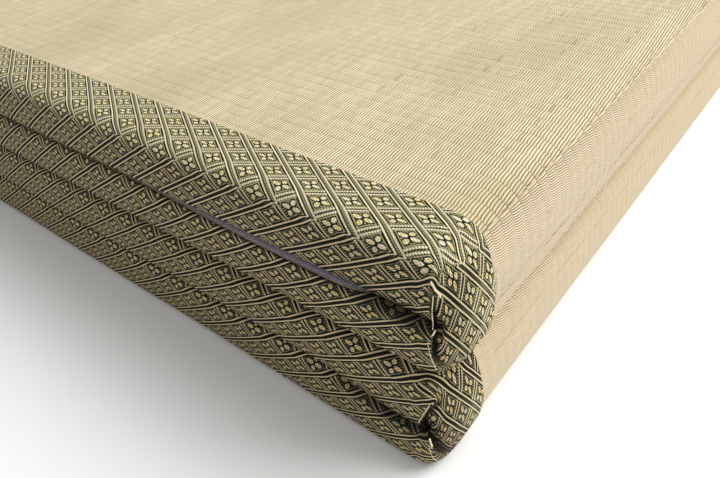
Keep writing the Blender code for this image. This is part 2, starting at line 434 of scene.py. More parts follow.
def softWaves(points, seed, size, lumps):
    # A gentle unevenness, the sum of a few waves
    chooser = np.random.default_rng(seed)
    total = np.zeros(points.shape[:2])
    for _ in range(lumps["count"]):
        direction = unit(chooser.normal(size=3))
        length = chooser.uniform(*lumps["lengths"])
        total += np.sin(points @ direction * (2 * math.pi / length) + chooser.uniform(0, 2 * math.pi))
    return total / math.sqrt(lumps["count"]) * size


# Mesh makers

def quadsOfGrid(rows, columns, closed=False):
    first = np.arange(rows - 1)[:, None] * columns
    cells = np.arange(columns if closed else columns - 1)[None]
    right = (cells + 1) % columns
    quads = np.stack([first + cells, first + right, first + columns + right, first + columns + cells], axis=2)
    return quads.reshape(-1, 4)


def makeMesh(name, points, faces, uv, values, material):
    mesh = bpy.data.meshes.new(name)
    mesh.from_pydata(points.tolist(), [], [list(face) for face in faces])
    corners = np.empty(len(mesh.loops), dtype=np.int32)
    mesh.loops.foreach_get("vertex_index", corners)
    layer = mesh.uv_layers.new(name="clothUV")
    layer.data.foreach_set("uv", uv[corners].astype(np.float32).ravel())
    for key, numbers in values.items():
        spread = mesh.attributes.new(key, "FLOAT", "POINT")
        spread.data.foreach_set("value", numbers.astype(np.float32).ravel())
    mesh.shade_smooth()
    mesh.materials.append(material)
    piece = bpy.data.objects.new(name, mesh)
    bpy.context.scene.collection.objects.link(piece)
    return piece


def makeSheet(name, outer, inner, uv, values, material, flip):
    # A closed sheet of cloth between two grids of the same size
    rows, columns = outer.shape[:2]
    base = quadsOfGrid(rows, columns)
    count = rows * columns
    faces = list(base[:, ::-1] if flip else base)
    faces += list((base if flip else base[:, ::-1]) + count)
    border = list(range(columns))
    border += [r * columns + columns - 1 for r in range(1, rows)]
    border += [(rows - 1) * columns + c for c in range(columns - 2, -1, -1)]
    border += [r * columns for r in range(rows - 2, 0, -1)]
    for here, there in zip(border, border[1:] + border[:1]):
        rim = [there, here, here + count, there + count]
        faces.append(rim[::-1] if flip else rim)
    points = np.vstack([outer.reshape(-1, 3), inner.reshape(-1, 3)])
    twice = {key: np.concatenate([numbers.ravel(), numbers.ravel()]) for key, numbers in values.items()}
    flatUv = uv.reshape(-1, 2)
    return makeMesh(name, points, faces, np.vstack([flatUv, flatUv]), twice, material)


# Node trees

class Wire:
    # One output socket, so that maths on it reads as a plain expression
    def __init__(self, graph, socket):
        self.graph = graph
        self.socket = socket

    def __add__(self, other):
        return self.graph.math("ADD", self, other)

    def __radd__(self, other):
        return self.graph.math("ADD", other, self)

    def __sub__(self, other):
        return self.graph.math("SUBTRACT", self, other)

    def __rsub__(self, other):
        return self.graph.math("SUBTRACT", other, self)

    def __mul__(self, other):
        return self.graph.math("MULTIPLY", self, other)

    def __rmul__(self, other):
        return self.graph.math("MULTIPLY", other, self)

    def __truediv__(self, other):
        return self.graph.math("DIVIDE", self, other)

    def __rtruediv__(self, other):
        return self.graph.math("DIVIDE", other, self)

    def __pow__(self, other):
        return self.graph.math("POWER", self, other)

    def __abs__(self):
        return self.graph.math("ABSOLUTE", self)

    def floor(self):
        return self.graph.math("FLOOR", self)

    def fract(self):
        return self.graph.math("FRACT", self)

    def sine(self):
        return self.graph.math("SINE", self)


class Graph:
    def __init__(self, tree):
        self.tree = tree

    def node(self, kind, settings, sockets, output=0):
        made = self.tree.nodes.new(kind)
        for name, value in settings.items():
            setattr(made, name, value)
        for key, value in sockets.items():
            if isinstance(value, Wire):
                self.tree.links.new(value.socket, made.inputs[key])
            else:
                made.inputs[key].default_value = value
        return Wire(self, made.outputs[output])

    def math(self, operation, *values):
        return self.node("ShaderNodeMath", {"operation": operation}, dict(enumerate(values)))

    def ramp(self, value, low, high):
        return self.node(
            "ShaderNodeMapRange", {"interpolation_type": "SMOOTHSTEP"},
            {"Value": value, "From Min": low, "From Max": high},
        )

    def band(self, value, low, high, soft):
        return self.ramp(value, low - soft, low + soft) * (1 - self.ramp(value, high - soft, high + soft))

    def least(self, *values):
        return self.math("MINIMUM", *values)

    def most(self, *values):
        return self.math("MAXIMUM", *values)

    def mixed(self, share, first, second, blend="MIX"):
        return self.node(
            "ShaderNodeMix", {"data_type": "RGBA", "blend_type": blend},
            {0: share, 6: first, 7: second}, output=2,
        )

    def parts(self, vector):
        made = self.node("ShaderNodeSeparateXYZ", {}, {0: vector})
        outputs = made.socket.node.outputs
        return [Wire(self, outputs[index]) for index in range(3)]

    def joined(self, x, y, z=0.0):
        return self.node("ShaderNodeCombineXYZ", {}, {0: x, 1: y, 2: z})

    def noise(self, vector, scale, detail=2.0):
        return self.node(
            "ShaderNodeTexNoise", {"noise_dimensions": "3D"},
            {"Vector": vector, "Scale": scale, "Detail": detail, "Roughness": 0.5},
        )

    def chance(self, x, y):
        return self.node("ShaderNodeTexWhiteNoise", {"noise_dimensions": "2D"}, {"Vector": self.joined(x, y)})


def newMaterial(name, roughness):
    material = bpy.data.materials.new(name)
    material.use_nodes = True
    graph = Graph(material.node_tree)
    shader = material.node_tree.nodes["Principled BSDF"]
    shader.inputs["Roughness"].default_value = roughness
    return material, graph, shader


def colour(red, green, blue):
    return (red, green, blue, 1.0)


def clothPlace(graph):
    return graph.parts(graph.node("ShaderNodeUVMap", {"uv_map": "clothUV"}, {}))[:2]


def pointValue(graph, name):
    return graph.node("ShaderNodeAttribute", {"attribute_name": name}, {}, output=2)


def finishShader(graph, shader, base, height, distance, strength=1.0):
    bump = graph.node(
        "ShaderNodeBump", {}, {"Height": height, "Distance": distance, "Strength": strength},
    )
    graph.tree.links.new(base.socket, shader.inputs["Base Color"])
    graph.tree.links.new(bump.socket, shader.inputs["Normal"])


# The lozenge binding: two families of double lines on the cloth's own map, one plain and one beaded,
# with a flower of four petals in each lozenge. Gaps are shares of the space between two lines, counted
# from a line. On top and at the right-hand folds, which face the light, the lines are paler and there is more
# green: partly the pattern's own change, and partly painted light, with the front painted darker as if in
# shade.
lozenge = {
    "roughness": 0.6,
    "specular": 0.04,
    "along": 19.2 * mm,           # one lozenge along the strip
    "across": 11.48 * mm,         # and across it
    "nodeX": 255.1 * mm,          # a crossing of the lines on the top leaf
    "nodeV": 32.0 * mm,           # the same crossing, measured from the rush edge of the strip
    "steps": 11.5,                # yarns along one side of a lozenge
    "upward": (0.42, 0.58),       # slope over which plain and beaded lines change places
    "openAndLit": (0.1, 0.8),           # and over which the colours change from the front's, painted darker as if in shade, to the paler lit ones
    "soft": 0.014,
    "relief": 0.25 * mm,
}
plainLine = {
    "stripe": (0.066, 0.126),
    "wider": 0.020,               # one stripe of each pair is wider and duller
    "duller": 0.22,
    "yarns": 0.12,
    "core": (0.045, 0.06),        # green between the stripes
    "coreLine": (0.022, 0.045),   # and a black line on one side of it
    "coreGreen": (0.52, 0.25),
    "middle": (0.008, 0.02),
    "middleGreen": 0.12,
    "hairline": (0.205, 0.235),
    "hairlineGreen": 0.8,
}
beadLine = {
    "stripe": (0.052, 0.112),
    "openStripe": (0.044, 0.122),
    "bead": (-0.75, 0.15),        # part of a yarn's wave that is a bead
    "least": 0.45,                # brightness between two beads
    "openLeast": 0.42,
    "clear": (0.145, 0.165),      # it stops short of the plain lines
    "middle": (0.0, 0.035),
    "middleBead": (0.3, -0.7),
    "middleStrength": 0.3,
    "inner": (0.165, 0.195),
    "innerBead": (0.2, -0.6),
    "innerStrength": 0.4,
}
petal = {
    "place": (0.29, 0.245),       # middle of a short and of a long petal
    "length": (0.16, 0.22),       # half the length of each
    "width": 0.125,
    "edge": (0.6, 1.25),
    "yarns": (-0.35, 0.15),
    "least": 0.4,
    "openLeast": 0.2,             # how much more that is on the open cloth
}
groundDots = {
    "yarns": (-0.3, 0.5),
    "openYarns": 0.25,
    "fromPlain": (0.185, 0.21),
    "fromBead": (0.02, 0.05),
    "strength": (0.4, 0.7),
    "petalEdge": (1.0, 2.1),      # dark outline round a petal
    "petalSoft": 0.2,
    "petalDark": 0.8,
    "shade": (0.5, 0.75),
    "shadeScale": 260.0,
    "dark": (0.0, 0.35),
    "olive": (0.15, 0.9),
}
goldYarns = {
    "chance": (0.5, 0.8),
    "share": (0.35, 0.5),         # on the lines, and how much more on the petals
}
bindingColours = {
    "black": colour(0.006, 0.006, 0.005),
    "dark": colour(0.045, 0.048, 0.03),
    "olive": colour(0.36, 0.345, 0.17),
    "cream": colour(0.95, 0.85, 0.60),
    # The tan is the cream painted darker, a shaded copy for the front
    "tan": colour(0.74, 0.60, 0.385),
    "gold": colour(0.82, 0.62, 0.14),
}


def petalShape(graph, fromFirst, fromSecond, weave, openedAndLit):
    # Strength of the petals, and how far a place is from the middle of the nearest one
    isLong = graph.ramp(fromFirst * fromSecond, -0.002, 0.002)
    place, length = (
        petal[key][0] + isLong * (petal[key][1] - petal[key][0]) for key in ("place", "length")
    )
    outward = (abs(fromFirst) + abs(fromSecond) - place) / length
    sideways = (abs(fromFirst) - abs(fromSecond)) / petal["width"]
    reach = outward * outward + sideways * sideways
    least = petal["least"] + petal["openLeast"] * openedAndLit
    rest = 1 - petal["least"] - petal["openLeast"] * openedAndLit
    petals = 1 - graph.ramp(reach, *petal["edge"])
    return petals * (least + rest * graph.ramp(weave, *petal["yarns"])), reach


def bindingMaterial():
    material, graph, shader = newMaterial("bindingCloth", lozenge["roughness"])
    shader.inputs["Specular IOR Level"].default_value = lozenge["specular"]
    u, v = clothPlace(graph)
    upward = graph.ramp(pointValue(graph, "upward"), *lozenge["upward"])
    # Painted light: the top and the right-hand folds count as lit and get paler lines and more olive, while
    # the front stays darker as if in shade; the same share also changes the stripes and beads, which is the
    # pattern's own
    openedAndLit = graph.ramp(pointValue(graph, "openAndLit"), *lozenge["openAndLit"])
    soft = lozenge["soft"]
    first = u / lozenge["along"] + v / lozenge["across"]
    second = u / lozenge["along"] - v / lozenge["across"]
    fromFirst = first.fract() - 0.5
    fromSecond = second.fract() - 0.5
    firstGap = 0.5 - abs(fromFirst)
    secondGap = 0.5 - abs(fromSecond)
    firstWave = (first * (2 * math.pi * lozenge["steps"])).sine()
    secondWave = (second * (2 * math.pi * lozenge["steps"])).sine()
    plainGap = firstGap + (secondGap - firstGap) * upward
    beadGap = secondGap + (firstGap - secondGap) * upward
    plainWave = secondWave + (firstWave - secondWave) * upward
    beadWave = firstWave + (secondWave - firstWave) * upward
    weave = (secondWave - firstWave) * 0.5

    oneSide = graph.ramp(fromSecond, -0.01, 0.01)
    duller = (1 - oneSide) * openedAndLit
    low, high = plainLine["stripe"]
    plainStripe = graph.band(plainGap, low, high + duller * plainLine["wider"], soft)
    plainStripe = plainStripe * (1 - plainLine["yarns"] + plainLine["yarns"] * plainWave)
    plainStripe = plainStripe * (1 - plainLine["duller"] * duller)

    beads = graph.ramp(beadWave, *beadLine["bead"])
    thin = beadLine["least"] + (1 - beadLine["least"]) * beads
    thin = graph.band(beadGap, *beadLine["stripe"], soft) * thin
    thick = beadLine["openLeast"] + (1 - beadLine["openLeast"]) * beads
    thick = graph.band(beadGap, *beadLine["openStripe"], soft) * thick
    between = (1 - graph.ramp(beadGap, *beadLine["middle"])) * graph.ramp(beadWave, *beadLine["middleBead"])
    between = between * beadLine["middleStrength"] * openedAndLit
    inner = graph.band(beadGap, *beadLine["inner"], soft) * graph.ramp(beadWave, *beadLine["innerBead"])
    beadStripe = thin + (thick - thin) * openedAndLit + between + inner * beadLine["innerStrength"]
    beadStripe = beadStripe * graph.ramp(plainGap, *beadLine["clear"])
    petals, reach = petalShape(graph, fromFirst, fromSecond, weave, openedAndLit)

    hairline = graph.band(plainGap, *plainLine["hairline"], soft) * plainLine["hairlineGreen"]
    core = 1 - graph.ramp(plainGap, *plainLine["core"])
    core = core * (1 - graph.band(plainGap, *plainLine["coreLine"], soft) * oneSide)
    core = core * openedAndLit * (plainLine["coreGreen"][0] - plainLine["coreGreen"][1] * plainWave)
    core = core + (1 - graph.ramp(plainGap, *plainLine["middle"])) * plainLine["middleGreen"]
    lowYarn, highYarn = groundDots["yarns"]
    dots = graph.ramp(weave, lowYarn - groundDots["openYarns"] * openedAndLit, highYarn)
    dots = dots * graph.ramp(plainGap, *groundDots["fromPlain"])
    dots = dots * graph.ramp(beadGap, *groundDots["fromBead"])
    dots = dots * (groundDots["strength"][0] + groundDots["strength"][1] * openedAndLit)
    outline = graph.band(reach, *groundDots["petalEdge"], groundDots["petalSoft"])
    dots = dots * (1 - groundDots["petalDark"] * outline)
    shade = graph.noise(graph.joined(u, v), groundDots["shadeScale"], 1.0)
    dots = dots * (groundDots["shade"][0] + groundDots["shade"][1] * shade)
    ground = graph.least(dots + hairline * (0.5 + 0.5 * openedAndLit) + core, 1.0)
    darker = graph.ramp(ground, *groundDots["dark"])
    base = graph.mixed(darker, bindingColours["black"], bindingColours["dark"])
    base = graph.mixed(graph.ramp(ground, *groundDots["olive"]), base, bindingColours["olive"])

    yarns = graph.chance((first * lozenge["steps"]).floor(), (second * lozenge["steps"]).floor())
    gold = graph.ramp(yarns, *goldYarns["chance"]) * (goldYarns["share"][0] + goldYarns["share"][1] * petals)
    # Painted light: cream lines where the cloth faces the light, and the darker tan, a shaded copy of the
    # cream, on the front
    paler = graph.mixed(openedAndLit, bindingColours["tan"], bindingColours["cream"])
    light = graph.mixed(gold, paler, bindingColours["gold"])
    shape = graph.least(graph.most(graph.most(plainStripe, beadStripe), petals), 1.0)
    base = graph.mixed(shape, base, light)
    # Painted shade: black in the slits and in the gaps that lead to them
    base = graph.mixed(pointValue(graph, "paintedShade"), base, bindingColours["black"])
    height = shape + weave * 0.3 + yarns * 0.1
    finishShader(graph, shader, base, height, lozenge["relief"])
    return material


# The rush face: strands across the mat in long waves, tied down in rows along it
rush = {
    "roughness": 0.5,
    "strand": 1.37 * mm,
    "row": 7.3 * mm,
    "lean": 0.55 * mm,            # how far a strand leans between two ties
    "hook": 0.35 * mm,            # and bends just before the second
    "crestLean": 0.3,             # more lean at the turn to the right face,
    "faceLean": 2.5,              # and the other way on it
    "finer": 1.35,                # more strands to the width on the right face,
    "finerFrom": (0.35, 0.5),     # past this part of its turn
    "flatRidge": 0.7,             # height where there are no strands
    "rowStride": 31.0,            # strands of two rows differ,
    "alongStride": (3.7, 24.0),   # and each changes along its length
    "wander": 1.3 * mm,
    "wanderScale": 38.0,
    "rowWander": 2.0 * mm,
    "rowWanderScale": 25.0,
    "rowDepth": 0.28 * mm,
    "tieWidth": (0.02, 0.3),
    "lump": 0.25 * mm,
    "lumpScale": 14.0,
    "relief": 0.55 * mm,
    "tieScale": 55.0,
    "tie": (0.40, 0.5),           # distance from the middle of a row over which the tie begins
    "tieGaps": (0.3, 0.65),
    "patchScale": 16.0,
    "bunchScale": 230.0,
    "onFace": (0.0, 0.42),        # slope over which the top's look becomes the right face's
    "clearTo": 0.42,              # distance from the middle of the length where the face is crisp,
    "faintFrom": 0.18,            # and where it has faded
}
rushTurn = {
    "kink": 1.5 * mm,             # the faint crack where the face turns down at the right
    "wander": 2.5 * mm,
    "wanderScale": 60.0,
    "width": (0.1 * mm, 0.55 * mm),
    # fine dark lines beside the line where the blocks meet: fold, angle of its turn, distance, strength
    "creases": (
        ("upper", -39, -3.6 * mm, 0.3),
        ("upper", -39, -0.7 * mm, 0.85),
        ("lower", 66, 1.8 * mm, 0.4),
    ),
    "creaseWidth": (0.1 * mm, 0.9 * mm),
    "creaseGaps": (0.3, 0.6),
    "kinkGaps": (0.35, 0.6),
    "brokenScale": 35.0,
    "foldStart": 0.1,             # how far the edge has changed where the turn begins
    "foldReach": 35.0 * mm,
}
rushShades = {
    "olive": 0.4,                 # most of the olive patches,
    "face": 0.8,                  # of the right face's pinker tint, painted for the light that falls there,
    "brown": 0.5,                 # of the odd brown stretches,
    "tie": 0.22,                  # of the painted shade in a tie row,
    "lip": 0.35,                  # of the brown along the rolled lip
    "kink": 0.45,                 # and of the crack
}
# How dark the grooves between the strands and the tie rows are painted, as painted shade
grooveShading = {
    "edge": (0.60, 0.2),          # ridge height up to which it is dark, and how much more on the face
    "side": 0.5,                  # paler on the face and where that is faint
    "faint": 0.72,
    "least": 0.7,
    "crest": 0.4,                 # darker at the turn and at the lip
    "lip": 0.6,
    "along": (0.35, 0.9),
}
rushHeight = {
    "side": 0.3,                  # lower on the face and where that is faint
    "faint": 0.7,
    "crest": 0.4,                 # higher at the turn
    "tie": 0.25,
    "kink": 0.6,
    "crease": 0.5,
}
rushColours = {
    # light: painted highlight on each strand's ridge; the dark groove colour: painted shade between the
    # strands
    "light": colour(0.88, 0.75, 0.485),
    "straw": colour(0.64, 0.52, 0.31),
    "grooveShade": colour(0.27, 0.20, 0.085),
    "olive": colour(0.54, 0.46, 0.225),
    # pink and pale: the right face's tint, painted for the light that falls on that side
    "pink": colour(0.475, 0.36, 0.21),
    "pale": colour(0.88, 0.73, 0.515),
    "brown": colour(0.33, 0.17, 0.07),
}


def foldStart():
    row = stations(matColumns["coarser"])
    return float(row["run"][np.argmax(row["folded"] > rushTurn["foldStart"])])


def turnRun(name, angle):
    # Place along the rush at an angle of a right-hand turn, counted from straight out
    row = stations(matColumns["coarser"])
    x, z = (row["rush"] - np.array(hinges()[name])).T
    inTurn = (x > 0) & (np.hypot(x, z) < rushTurn["foldReach"])
    angles = np.arctan2(z[inTurn], x[inTurn])
    return float(np.interp(-math.radians(angle), -angles, row["run"][inTurn]))


def rushStrands(graph, u, v, crest, onFace):
    # The strands' ridges, each strand's number, and the place between two rows of ties
    place = graph.joined(u, v * 0.5)
    wander = graph.noise(place, rush["wanderScale"], 3.0) * rush["wander"]
    rowWander = (graph.noise(graph.joined(u, v), rush["rowWanderScale"], 1.0) - 0.5) * rush["rowWander"]
    rowPlace = (v + rowWander) / rush["row"]
    inRow = rowPlace.fract()
    other = (rowPlace.floor() * 0.5).fract()
    lean = (inRow - 0.5) * rush["lean"] - (1 - inRow) ** 6.0 * rush["hook"]
    lean = lean * (1 + rush["crestLean"] * crest - rush["faceLean"] * onFace)
    strandPlace = (u + lean + wander) / rush["strand"] + other
    inStrand = strandPlace.fract()
    inFine = (strandPlace * rush["finer"]).fract()
    ridge = 4 * inStrand * (1 - inStrand)
    ridge = ridge + (4 * inFine * (1 - inFine) - ridge) * graph.ramp(onFace, *rush["finerFrom"])
    ridge = (ridge - rush["flatRidge"]) * pointValue(graph, "rushFace") + rush["flatRidge"]
    return ridge, strandPlace.floor() + other * rush["rowStride"], inRow


def rushLines(graph, u, v, inRow):
    # The crack at the turn to the right face, and the fine creases further down
    wander = (graph.noise(graph.joined(0.0, v), rushTurn["wanderScale"], 2.0) - 0.5) * rushTurn["wander"]
    wander = wander + (inRow - 0.5) * rush["lean"]
    kink = 1 - graph.ramp(abs(u - (wander + foldStart() + rushTurn["kink"])), *rushTurn["width"])
    creases = 0.0
    for number, (fold, angle, gap, strength) in enumerate(rushTurn["creases"]):
        broken = graph.noise(graph.joined(number * 0.7, v), rushTurn["brokenScale"], 1.0)
        away = abs(u - wander - (turnRun(fold, angle) + gap))
        line = 1 - graph.ramp(away, *rushTurn["creaseWidth"])
        line = line * graph.ramp(broken, *rushTurn["creaseGaps"])
        creases = line * strength + creases
    return kink, creases


def rushMaterial():
    material, graph, shader = newMaterial("wovenRush", rush["roughness"])
    u, v = clothPlace(graph)
    side = pointValue(graph, "side")
    crest = pointValue(graph, "crest")
    lip = pointValue(graph, "lip")
    onTop = 1 - side
    onFace = graph.ramp(side, *rush["onFace"])
    faint = graph.ramp(abs(v), rush["clearTo"], rush["faintFrom"]) * onFace
    ridge, strand, inRow = rushStrands(graph, u, v, crest, onFace)
    tieNoise = graph.noise(graph.joined(u, v), rush["tieScale"], 1.0)
    tie = graph.ramp(abs(inRow - 0.5), *rush["tie"]) * graph.ramp(tieNoise, *rush["tieGaps"]) * onTop

    strandStride, runStride = rush["alongStride"]
    along = graph.noise(graph.joined(strand * strandStride, v * runStride), 1.0, 2.0)
    odd = graph.chance(strand, 7.0)
    patch = graph.noise(graph.joined(u, v * 0.5), rush["patchScale"])
    bunch = graph.noise(graph.joined(u, v * 0.12), rush["bunchScale"], 1.0)
    # Painted highlight: each strand is paler towards its ridge, as if lit; along and bunch vary it at random
    ridgeHighlight = graph.ramp(ridge, 0.3, 1.0)
    lightness = ridgeHighlight * (0.35 + 0.65 * graph.ramp(along, 0.3, 0.7))
    lightness = graph.least(lightness + graph.ramp(bunch, 0.45, 0.75) * 0.4 * onTop, 1.0)
    olive = graph.ramp(patch, 0.45, 0.7) * rushShades["olive"] * onTop
    body = graph.mixed(lightness, rushColours["straw"], rushColours["light"])
    body = graph.mixed(olive, body, rushColours["olive"])
    # The right face: a pinker tint painted for the light that falls on that side, with the same painted
    # highlight on the ridges
    face = ridgeHighlight * (0.4 + 0.6 * along)
    face = graph.mixed(face + (0.1 - face) * faint, rushColours["pink"], rushColours["pale"])
    body = graph.mixed(onFace * rushShades["face"], body, face)
    brown = graph.ramp(odd, 0.95, 0.98) * graph.ramp(along, 0.5, 0.65) * rushShades["brown"]
    body = graph.mixed(brown, body, rushColours["brown"])

    # Painted shade: darker between the strands and in the tie rows, more at the turn and at the lip
    edge = grooveShading["edge"][0] + grooveShading["edge"][1] * onFace
    grooveShade = (1 - graph.ramp(ridge, 0.0, edge)) * (1 - grooveShading["side"] * side)
    grooveShade = grooveShade * (1 - grooveShading["faint"] * faint)
    grooveShade = grooveShade * (grooveShading["least"] + grooveShading["crest"] * crest + grooveShading["lip"] * lip)
    grooveShade = grooveShade * (grooveShading["along"][0] + grooveShading["along"][1] * along)
    grooveShade = graph.least(grooveShade + tie * rushShades["tie"], 1.0) * pointValue(graph, "rushFace")
    base = graph.mixed(grooveShade, body, rushColours["grooveShade"])
    kink, creases = rushLines(graph, u, v, inRow)
    kink = kink * graph.ramp(tieNoise, *rushTurn["kinkGaps"])
    # Brown along the rolled lip and at the crack
    brownMarks = lip * graph.ramp(tieNoise, 0.2, 0.6) * rushShades["lip"] + kink * rushShades["kink"]
    base = graph.mixed(graph.least(brownMarks + creases, 1.0), base, rushColours["brown"])
    height = ridge * (1 - rushHeight["side"] * side) * (1 - rushHeight["faint"] * faint)
    height = (height - tie * rushHeight["tie"]) * (1 + rushHeight["crest"] * crest)
    height = height - kink * rushHeight["kink"] - creases * rushHeight["crease"]
    finishShader(graph, shader, base, height, rush["relief"])
    return material


backingWeave = {
    "roughness": 0.8,
    "rib": 1.0 * mm,
    "yarn": (0.5 * mm, 0.6 * mm),
    "relief": 0.2 * mm,
    "dark": colour(0.10, 0.09, 0.12),
    "light": colour(0.34, 0.31, 0.37),
}
sewingThread = {
    "roughness": 0.6,
    "scale": 2500.0,
    "relief": 0.05 * mm,
    "dark": colour(0.72, 0.62, 0.30),
    "light": colour(0.95, 0.91, 0.70),
}


def backingMaterial():
    material, graph, shader = newMaterial("ribbedBacking", backingWeave["roughness"])
    u, v = clothPlace(graph)
    rib = 0.5 + 0.5 * (u / backingWeave["rib"] * (2 * math.pi)).sine()
    weft = graph.chance((u / backingWeave["yarn"][0]).floor(), (v / backingWeave["yarn"][1]).floor())
    base = graph.mixed(rib * 0.6 + weft * 0.4, backingWeave["dark"], backingWeave["light"])
    finishShader(graph, shader, base, rib + weft * 0.4, backingWeave["relief"])
    return material


def threadMaterial():
    material, graph, shader = newMaterial("sewingThread", sewingThread["roughness"])
    place = graph.node("ShaderNodeTexCoord", {}, {}, output=3)
    strand = graph.noise(place, sewingThread["scale"])
    base = graph.mixed(strand, sewingThread["dark"], sewingThread["light"])
    finishShader(graph, shader, base, strand, sewingThread["relief"])
    return material


# Binding

bindingColumns = {
    "flat": (1.0, 0.985, 0.96, 0.9, 0.8, 0.65, 0.5, 0.35, 0.2, 0.08),    # shares of the strip on the rush
    "crest": (0, 8, 16, 23, 30, 37, 43, 49, 54, 59, 64, 69, 74, 79, 84, 90),    # degrees round its edge
    "mid": (0.12, 0.24, 0.36, 0.48, 0.60, 0.72, 0.86),    # shares of the way down the front
    "shoulder": (0.0, 0.2, 0.4, 0.6, 0.8, 1.0),    # and of the turn to the backing side
    "edgeRound": 0.9 * mm,        # rounding of the sewn edge on the rush
    "edgeLeast": 0.02,
    "waves": {"count": 9, "lengths": (0.05, 0.16)},
    "waveSize": 0.22 * mm,
    "waveSeed": 11,
    "pressed": 0.4 * mm,          # least thickness where the cloth is pressed on the floor
    "floorRoom": 0.02 * mm,
    "openRun": (1 * mm, 14 * mm),     # x from the upper crease over which the cloth counts as open and lit, and is painted paler
    "slitShade": 0.9,
    "gapShade": 0.8,
    "gapLeft": (-75 * mm, -12 * mm),  # the gap that leads to a slit, where shade is painted
    "gapRight": (2 * mm, 5 * mm),
    "gapHeight": 12 * mm,
    "gapDepth": (1.2 * mm, 6 * mm),
}


def foldPlace(row, points, along, across):
    # The cloth's own map. Left of a fold's slit the front keeps the straight map of its leaf, and right
    # of it the map runs with the height and the distance from the front.
    place = clothMap(along, across)
    rushX, rushZ = row["rush"].T
    for name, table in (("upper", upperMitre), ("lower", lowerMitre)):
        hinge = hinges()[name]
        near = (np.abs(rushX - hinge[0]) < mitreEdge["along"]) & (np.abs(rushZ - hinge[1]) < mitreEdge["up"])
        spots = np.flatnonzero(near)
        x, y, z = np.moveaxis(points[spots], 2, 0)
        above = rushZ[spots] > hinge[1]
        straight = np.empty((len(spots), points.shape[1], 2))
        for rows, leaf, up in ((above, spots[0], 1), (~above, spots[-1], -1)):
            edge = row["crest"][leaf] * (math.pi / 2 - 2) + stack["reach"]
            straight[rows, :, 0] = along[leaf] + up * (x[rows] - rushX[leaf])
            straight[rows, :, 1] = edge + up * (rushZ[leaf] - z[rows])
        onFace = 1 - smooth(*mitreEdge["face"], y - frontLine())
        onFace *= smooth(*mitreEdge["left"], rushX[spots] - hinge[0])[:, None]
        drop = -points[spots, 0, 2]
        inward = np.maximum(np.interp(-z, drop, points[spots, 0, 0]) - x, 0)
        level = np.interp(-hinge[1], drop, along[spots]) + hinge[1] - z
        level = blendTo(np.interp(-z, drop, along[spots]), level, smooth(0, mitreEdge["unrolled"], inward))
        turned = np.stack([
            level - mitreEdge["sheared"] * inward,
            stack["foldReach"] - (y - frontLine()) + mitreEdge["wrapped"] * inward,
        ], axis=2)
        heights, left = np.array(table).T[:2] * mm
        beside = x - hinge[0] - np.interp(z - hinge[1], heights, left) - mitreEdge["sharp"] / 2
        far = smooth(0, mitreEdge["spreadOver"], np.abs(z - hinge[1]) - mitreEdge["straight"])
        half = mitreEdge["sharp"] / 2 + mitreEdge["spread"] * far
        flat = blendTo(place[spots], straight, onFace[..., None])
        place[spots] = blendTo(flat, turned, smooth(-1, 1, beside / half)[..., None])
    return place


def paintedSlitShade(skin, height, shade):
    # Painted shade: how far the cloth's colour is darkened to black in the slits and in the gaps that lead to
    # them, where shadow falls
    amount = shade * bindingColumns["slitShade"]
    x, z = skin[..., 0], skin[..., 2]
    for name in ("upper", "lower"):
        hinge = hinges()[name]
        fromCrease = x - hinge[0]
        inGap = smooth(*bindingColumns["gapLeft"], fromCrease)
        inGap = inGap * (1 - smooth(*bindingColumns["gapRight"], fromCrease))
        inGap = inGap * (np.abs(z - hinge[1]) < bindingColumns["gapHeight"])
        inGap = inGap * (1 - smooth(*bindingColumns["gapDepth"], height))
        amount = np.maximum(amount, inGap * bindingColumns["gapShade"])
    return amount


def buildBindings(material):
    row = stations()
    shape = edgeOutline(
        row, bindingColumns["flat"], bindingColumns["crest"],
        bindingColumns["mid"], bindingColumns["shoulder"],
    )
    skin = placeOutline(row, *shape)
    normals = gridNormals(skin)
    if normals[:, len(bindingColumns["flat"]) + len(bindingColumns["crest"]), 1].mean() > 0:
        normals = -normals
    across = runAcross(skin)
    topRun = row["run"][row["leaf"] == 1]
    topX = row["rush"][row["leaf"] == 1, 0]
    along = row["run"] - np.interp(lozenge["nodeX"], topX, topRun)
    uv = foldPlace(row, skin, along, across)
    uv[..., 1] -= lozenge["nodeV"]
    upward = np.clip(normals[..., 2], 0, 1) * (row["rush"][:, 1:2] > hinges()["upper"][1])
    edgeShare = np.clip(across / bindingColumns["edgeRound"], bindingColumns["edgeLeast"], 1)
    lift = stack["clearance"] + stack["sheet"] * np.sqrt(edgeShare)
    lift += softWaves(skin, bindingColumns["waveSeed"], bindingColumns["waveSize"], bindingColumns["waves"])
    outer = skin + normals * lift[..., None]
    inner = skin + normals * (stack["clearance"] * 0.5)
    tuck, shade = mitreDepth(skin)
    # Painted shade in the slits and in the gaps that lead to them
    paintedShade = paintedSlitShade(skin, shape[0], shade)
    beyond = smooth(*bindingColumns["openRun"], skin[..., 0] - hinges()["upper"][0])
    # The second value marks the top and the right-hand folds, which the material paints paler as if lit,
    # while the front stays darker as if in shade
    values = {"upward": upward, "openAndLit": np.maximum(upward, beyond), "paintedShade": paintedShade}
    pieces = []
    for name, side in (("binding_front_cloth", 1), ("binding_rear_cloth", -1)):
        faces = []
        floorRoom = bindingColumns["floorRoom"]
        for grid in (outer, inner):
            moved = grid.copy()
            moved[..., 1] = side * (moved[..., 1] + tuck)
            moved[..., 2] = np.maximum(moved[..., 2], floorRoom)
            faces.append(moved)
            floorRoom += bindingColumns["pressed"]
        pieces.append(makeSheet(name, faces[0], faces[1], uv, values, material, side > 0))
    return pieces, outer.reshape(-1, 3)


# Backing

